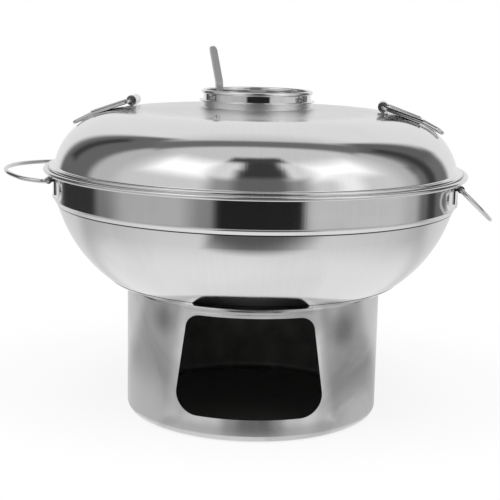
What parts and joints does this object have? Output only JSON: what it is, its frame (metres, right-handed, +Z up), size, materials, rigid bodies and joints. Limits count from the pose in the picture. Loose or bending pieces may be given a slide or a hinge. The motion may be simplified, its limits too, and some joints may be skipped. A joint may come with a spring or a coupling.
{
  "type": "chimney hot pot",
  "caption": "Stainless steel chimney hot pot with a lift-off domed lid, a damper cup on the chimney, a windowed stove base and swinging wire handles.",
  "frame": {"origin": "middle of the base's flat foot, on the table", "axes": "+Z up along the chimney, -Y towards the window of the stove base, +X towards the right ear"},
  "size_m": [0.3603, 0.31, 0.268],
  "materials": {
    "base_satin": "satin",
    "bowl_polished": "polished",
    "lid_polished": "polished",
    "cup_polished": "polished",
    "wire_bright": "polished",
    "ear_polished": "polished",
    "strap_steel": "satin",
    "strip_steel": "satin",
    "grip_satin": "satin",
    "flue_steel": "satin",
    "grate_steel": "matt"
  },
  "bodies": {
    "pot": {"stove_base": "base_satin", "ash_floor": "base_satin", "pot_bowl": "bowl_polished", "chimney_tube": "flue_steel", "charcoal_grate": "grate_steel", "grate_clips": "grate_steel", "right_ear_plate": "ear_polished", "left_ear_plate": "ear_polished", "right_front_ear_strap": "strap_steel", "left_front_ear_strap": "strap_steel", "right_rear_ear_strap": "strap_steel", "left_rear_ear_strap": "strap_steel"},
    "right_ring": {"right_ring_handle": "wire_bright"},
    "left_ring": {"left_ring_handle": "wire_bright"},
    "lid": {"lid_dome": "lid_polished", "right_lid_bracket": "strap_steel", "left_lid_bracket": "strap_steel"},
    "right_lid_handle": {"right_lid_loop": "wire_bright", "right_lid_grip": "grip_satin"},
    "left_lid_handle": {"left_lid_loop": "wire_bright", "left_lid_grip": "grip_satin"},
    "damper": {"damper_cup": "cup_polished", "damper_handle": "strip_steel"}
  },
  "joints": [
    {"name": "right_ring_swing", "type": "hinge", "parent": "pot", "child": "right_ring", "pos_m": [0.1446, 0, 0.1742], "axis": [0, -1, 0], "range_deg": [-46, 108]},
    {"name": "left_ring_swing", "type": "hinge", "parent": "pot", "child": "left_ring", "pos_m": [-0.1446, 0, 0.1742], "axis": [0, 1, 0], "range_deg": [-94, 61]},
    {"name": "lid_lift", "type": "slide", "parent": "pot", "child": "lid", "axis": [0, 0, 1], "range_m": [0, 0.1]},
    {"name": "right_lid_handle_swing", "type": "hinge", "parent": "lid", "child": "right_lid_handle", "pos_m": [0.09142, -0.0072, 0.22806], "axis": [-0.0785, -0.9969, 0], "range_deg": [0, 175]},
    {"name": "left_lid_handle_swing", "type": "hinge", "parent": "lid", "child": "left_lid_handle", "pos_m": [-0.09142, 0.0072, 0.22806], "axis": [0.0785, 0.9969, 0], "range_deg": [0, 175]},
    {"name": "damper_lift", "type": "slide", "parent": "lid", "child": "damper", "axis": [0, 0, 1], "range_m": [0, 0.04]}
  ]
}
